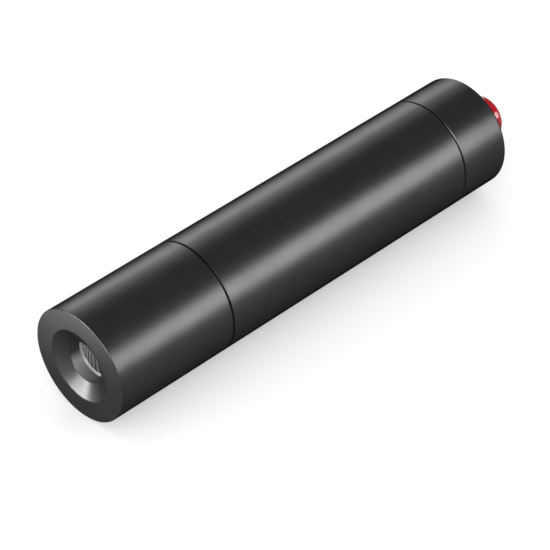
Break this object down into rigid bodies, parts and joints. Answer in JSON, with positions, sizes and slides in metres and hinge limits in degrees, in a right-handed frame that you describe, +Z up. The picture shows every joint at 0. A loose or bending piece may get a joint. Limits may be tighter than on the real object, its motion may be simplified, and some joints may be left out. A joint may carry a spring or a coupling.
{
  "type": "laser pointer",
  "caption": "Round black metal laser pointer with a dished nose aperture, a screwed tail cap and a red push button; the tail cap unscrews, the lens focuses and the button presses.",
  "frame": {"origin": "under the middle of the overall length, on the surface that the barrel lies on", "axes": "+Y along the barrel from the nose towards the tail button, +Z up, +X to the right when looking along +Y"},
  "size_m": [0.022, 0.1046, 0.022],
  "materials": {
    "anodised": "black anodised, satin, turned",
    "brass": "turned brass",
    "spring_steel": "drawn steel wire",
    "nickel": "nickel plated",
    "gilt": "gold plated",
    "lens_glass": "polished, coated lens",
    "board": "green solder mask",
    "epoxy": "black moulded epoxy",
    "ferrite": "grey ferrite",
    "tantalum": "yellow moulded case",
    "trimmer_blue": "blue moulded case",
    "cell_wrap": "can in a plain film wrap",
    "washer": "insulating fibre",
    "rubber": "black nitrile",
    "nylon": "black moulded nylon",
    "acetal": "natural acetal",
    "button_red": "glossy moulded plastic"
  },
  "bodies": {
    "barrel": {"nose_housing": "anodised", "nose_seal": "rubber", "body_tube": "anodised", "tail_seal": "rubber", "diode_module": "brass", "diode_ring": "brass", "laser_diode": "gilt", "diode_window": "lens_glass", "diode_lead_1": "gilt", "diode_lead_2": "gilt", "diode_lead_3": "gilt", "module_ring": "brass", "driver_board": "board", "driver_chip": "epoxy", "filter_capacitor": "tantalum", "choke": "ferrite", "current_trimmer": "trimmer_blue", "board_ring": "brass", "positive_contact": "brass", "positive_spring": "nickel", "cell_can": "cell_wrap", "cell_washer": "washer", "cell_nub": "nickel"},
    "focus_follower": {"focus_spring": "spring_steel"},
    "lens_cell": {"lens_holder": "nickel", "collimating_lens": "lens_glass", "lens_ring": "nickel"},
    "tail_follower": {"tail_spring": "nickel"},
    "tail": {"tail_cap": "anodised", "button_seal": "rubber", "switch_ring": "brass", "switch_carrier": "nylon", "switch_body": "epoxy", "switch_board": "board", "switch_pin_left": "spring_steel", "switch_pin_right": "spring_steel", "return_spring": "spring_steel"},
    "push_button": {"button": "button_red", "plunger": "acetal"}
  },
  "joints": [
    {"name": "focus_travel", "type": "slide", "parent": "barrel", "child": "focus_follower", "axis": [0, 1, 0], "range_m": [-0.0016, 0.0016], "deforming": ["focus_spring"]},
    {"name": "lens_turn", "type": "hinge", "parent": "focus_follower", "child": "lens_cell", "pos_m": [0, -0.04417, 0.01098], "axis": [0, 1, 0], "range_deg": [-1152, 1152]},
    {"name": "cap_travel", "type": "slide", "parent": "barrel", "child": "tail_follower", "axis": [0, 1, 0], "range_m": [0, 0.0024], "deforming": ["tail_spring"]},
    {"name": "cap_turn", "type": "hinge", "parent": "tail_follower", "child": "tail", "pos_m": [0, 0.03417, 0.01098], "axis": [0, 1, 0], "range_deg": [0, 1080]},
    {"name": "button_press", "type": "slide", "parent": "tail", "child": "push_button", "axis": [0, -1, 0], "range_m": [0, 0.0015], "stiffness_N_per_m": 1600, "springref_m": -0.0008, "deforming": ["return_spring"]}
  ],
  "couplings": [
    {"joint": "lens_turn", "follows": "focus_travel", "rad_per_m": 12566},
    {"joint": "cap_turn", "follows": "cap_travel", "rad_per_m": 7854}
  ]
}
